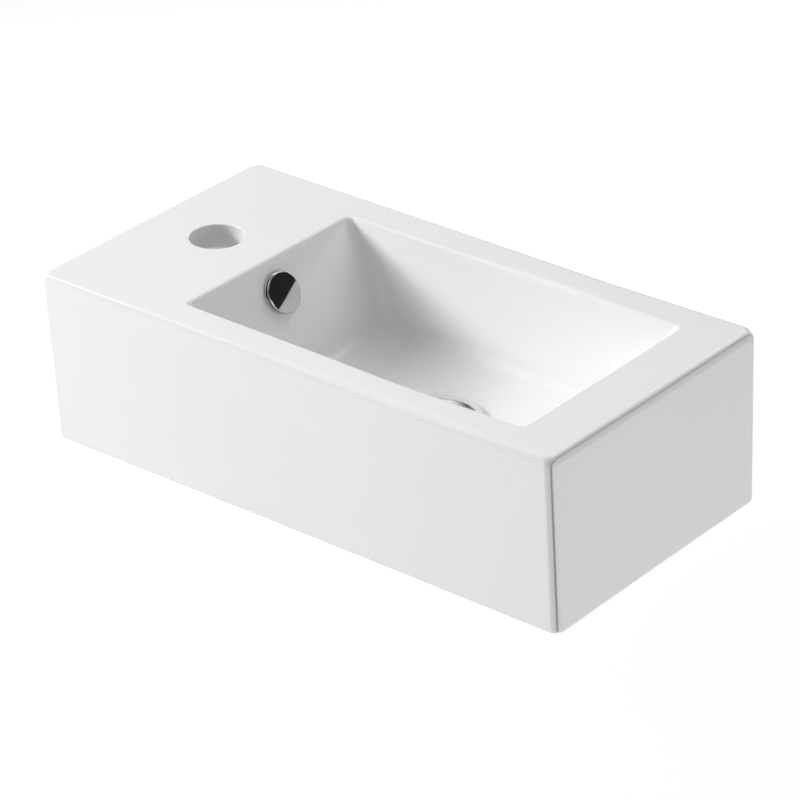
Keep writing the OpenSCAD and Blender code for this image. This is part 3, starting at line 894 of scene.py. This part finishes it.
def metal(name, a, b, rough, wave=0.02, scale=60.0, grain=None, coat=0.0):
    p = Paint(name)
    colour = p.tint(p.noise(scale * 0.35, 3.0), a, b)
    r = p.span(p.noise(scale * 2.2, 5.0, 0.6), rough[0], rough[1])
    normal = p.bump(p.noise(scale * 1.3, 2.0, 0.45), wave, 0.0004)
    if grain:
        normal = p.bump(p.noise(grain, 5.0, 0.65), 0.28, 0.00015, normal)
    return p.shader(Base_Color=colour, Metallic=1.0, Roughness=r, Coat_Weight=coat, Normal=normal)


def rubber(name, a, b, rough, sheen=0.0, through=0.0):
    p = Paint(name)
    colour = p.tint(p.noise(70.0, 4.0), a, b)
    r = p.span(p.noise(140.0, 4.0), rough[0], rough[1])
    normal = p.bump(p.noise(700.0, 5.0, 0.6), 0.22, 0.00012, p.bump(p.noise(45.0, 2.0), 0.15, 0.0004))
    return p.shader(Base_Color=colour, Roughness=r, Normal=normal, Sheen_Weight=sheen, Subsurface_Weight=through,
                    Subsurface_Scale=0.002)


def plated_zinc():
    p = Paint("zinc_steel")
    spangle = p.node("ShaderNodeTexVoronoi", {"Vector": p.coord, "Scale": 900.0}).outputs["Distance"]
    colour = p.mix_colours(p.span(p.noise(120.0, 4.0), 0.0, 1.0), (0.56, 0.58, 0.62), (0.70, 0.70, 0.69))
    r = p.span(p.maths("ADD", p.noise(260.0, 5.0, 0.6), p.maths("MULTIPLY", spangle, 0.25)), 0.22, 0.42)
    normal = p.bump(p.noise(520.0, 5.0, 0.6), 0.25, 0.00015)
    return p.shader(Base_Color=colour, Metallic=1.0, Roughness=r, Normal=normal)


MATERIALS = {
    "white_glaze": glaze(),
    "polished_chrome": metal("polished_chrome", (0.46, 0.47, 0.48), (0.52, 0.53, 0.53), (0.04, 0.08), 0.03, 70.0),
    "plated_plastic": metal("plated_plastic", (0.58, 0.59, 0.60), (0.64, 0.65, 0.65), (0.10, 0.18), 0.08, 90.0),
    "waste_chrome": metal("waste_chrome", (0.80, 0.81, 0.82), (0.86, 0.86, 0.86), (0.19, 0.27), 0.06, 50.0),
    "black_rubber": rubber("black_rubber", (0.018, 0.018, 0.019), (0.032, 0.031, 0.030), (0.52, 0.72)),
    "white_seal": rubber("white_seal", (0.66, 0.66, 0.63), (0.76, 0.76, 0.73), (0.42, 0.58), 0.0, 0.15),
    "nylon": rubber("nylon", (0.70, 0.69, 0.63), (0.79, 0.78, 0.72), (0.34, 0.50), 0.0, 0.2),
    "brass": metal("brass", (0.70, 0.52, 0.26), (0.80, 0.61, 0.33), (0.20, 0.36), 0.12, 90.0, 800.0),
    "spring_steel": metal("spring_steel", (0.46, 0.46, 0.47), (0.56, 0.56, 0.56), (0.18, 0.30), 0.08, 120.0, 900.0),
    "zinc_steel": plated_zinc(),
}

def finish_piece(obj, body, slot_name, *nodes):
    obj.data.name = obj.name
    obj.data.materials.clear()
    obj.data.materials.append(MATERIALS[slot_name])
    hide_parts(*nodes)
    if body:
        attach(obj, body)
    return obj


# --------------------------------------------------------------------------
# The pieces, each on its body, except the coil spring, which is left loose
# --------------------------------------------------------------------------
finish_piece(basin(), "basin", "white_glaze", "basin_body")
finish_piece(overflow_cover(), "basin", "polished_chrome", "overflow_cap")
finish_piece(overflow_trim(), "basin", "plated_plastic", "overflow_insert")
finish_piece(overflow_gasket(), "basin", "black_rubber", "overflow_seal")
finish_piece(waste(), "basin", "waste_chrome", "waste_body")
finish_piece(ring_piece("flange_gasket", 22.6, 29.0, SEAT, FLZ, 0.35), "basin", "white_seal", "flange_seal")
finish_piece(cone_washer(), "basin", "black_rubber", "tapered_washer")
finish_piece(ring_piece("slip_washer", 21.25, 29.5, 8.5, 10.0, 0.3), "basin", "nylon", "thrust_washer")
finish_piece(backnut(), "basin", "brass", "waste_backnut")
cap, seal, barrel, clip, nib = plug()
finish_piece(cap, "plug", "waste_chrome", "plug_cap")
finish_piece(seal, "plug", "black_rubber", "plug_seal")
finish_piece(barrel, "plug", "brass", "plug_barrel")
finish_piece(joined("wire_clip", [clip, nib]), "plug", "spring_steel", "latch_clip")
finish_piece(post(), "basin", "brass", "latch_post")
coil = finish_piece(spring(), None, "spring_steel", "latch_spring")
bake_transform(coil)
for node, objs in fixings().items():
    name, slot_name = {"wall_bolts": ("hanger_bolts", "zinc_steel"), "bolt_sleeves": ("flanged_sleeves", "nylon"),
                       "bolt_washers": ("plain_washers", "zinc_steel"), "bolt_nuts": ("hexagon_nuts", "zinc_steel")}[node]
    finish_piece(sharpen(joined(name, objs), 26.0), "basin", slot_name, node)

# --------------------------------------------------------------------------
# Floor, light and camera. The basin hangs as on a wall, so the floor is far below.
# --------------------------------------------------------------------------
FLOOR_Z = -0.75
floor = mesh_object("studio_floor", [(x, y, FLOOR_Z) for x, y in ((-9, -9), (9, -9), (9, 9), (-9, 9))], [(0, 1, 2, 3)], False)
paint = Paint("pale_floor")
tone = paint.tint(paint.noise(1.5, 3.0), (0.88, 0.88, 0.88), (0.90, 0.90, 0.90))
away = paint.node("ShaderNodeVectorMath", {0: paint.coord, 1: (-0.652, 0.758, 0.0)}, operation="DOT_PRODUCT").outputs["Value"]
glow = paint.node("ShaderNodeMapRange", {"Value": away, "From Min": 0.7, "From Max": 2.4, "To Min": 0.147, "To Max": 0.487},
                  interpolation_type="SMOOTHSTEP").outputs[0]
paint.shader(Base_Color=tone, Roughness=paint.span(paint.noise(30.0, 4.0), 0.75, 0.9),
             Normal=paint.bump(paint.noise(220.0, 4.0), 0.04, 0.0005), Specular_IOR_Level=0.0,
             Emission_Color=(1.0, 1.0, 1.0, 1.0), Emission_Strength=glow)
floor.data.materials.append(paint.mat)

AIM = Vector((0.015, -0.105, 0.06))


def soft_light(name, az, el, distance, size, watts, size_y=None, spread=180.0):
    """Area light facing the basin. az 0 is in front (-Y) and 90 to the right (+X)."""
    a, e = math.radians(az), math.radians(el)
    back = Vector((math.sin(a) * math.cos(e), -math.cos(a) * math.cos(e), math.sin(e)))
    data = bpy.data.lights.new(name, "AREA")
    data.shape = "RECTANGLE"
    data.size = size
    data.size_y = size_y or size
    data.energy = watts
    data.spread = math.radians(spread)
    lamp = link(bpy.data.objects.new(name, data))
    lamp.location = AIM + back * distance
    lamp.rotation_euler = (-back).to_track_quat("-Z", "Y").to_euler()
    return lamp


for name, az, el, distance, size, watts in (
        ("key", -64, 26, 2.6, 0.5, 24.5),
        ("key_low", -54, 20, 2.6, 0.5, 18.2),
        ("key_front", -54, 26, 2.6, 0.5, 13.4),
        ("key_high", -74, 38, 2.6, 0.5, 15.8),
        ("sky_back", 180, 45, 3.2, 2.0, 27.6),
        ("sky_back_left", -150, 45, 3.2, 2.0, 7.5),
        ("sky_front", -30, 45, 3.2, 2.0, 6.8),
        ("low_right", 90, 6, 2.8, 1.1, 18.2),
        ("low_back", 180, 6, 2.8, 1.1, 10.6),
        ("low_front_right", 60, 6, 2.8, 1.1, 5.9),
        ("overhead", 0, 90, 2.4, 3.4, 16.7)):
    soft_light(name, az, el, distance, size, watts)

world = bpy.data.worlds.new("studio")
bpy.context.scene.world = world
world.use_nodes = True
world.node_tree.nodes["Background"].inputs[0].default_value = (0.03, 0.03, 0.03, 1.0)
world.node_tree.nodes["Background"].inputs[1].default_value = 1.0

view = bpy.context.scene.view_settings
view.view_transform = "Standard"
view.look = "None"
view.exposure = 0.0
view.gamma = 1.0

# camera fitted to the picture: azimuth 40.72, elevation 28.43, roll -2.06
az, el, roll = math.radians(40.72), math.radians(28.43), math.radians(-2.06)
back = Vector((math.sin(az) * math.cos(el), -math.cos(az) * math.cos(el), math.sin(el)))
right = (-back).cross(Vector((0, 0, 1))).normalized()
up = right.cross(-back)
right, up = right * math.cos(roll) + up * math.sin(roll), up * math.cos(roll) - right * math.sin(roll)
lens = bpy.data.cameras.new("camera")
lens.lens = 173.19
lens.sensor_width = 36.0
lens.clip_start, lens.clip_end = 0.05, 60.0
camera = link(bpy.data.objects.new("camera", lens))
camera.matrix_world = Matrix.Translation(mm((1354.0635, -1667.6206, 1169.4977))) @ Matrix((right, up, back)).transposed().to_4x4()
bpy.context.scene.camera = camera
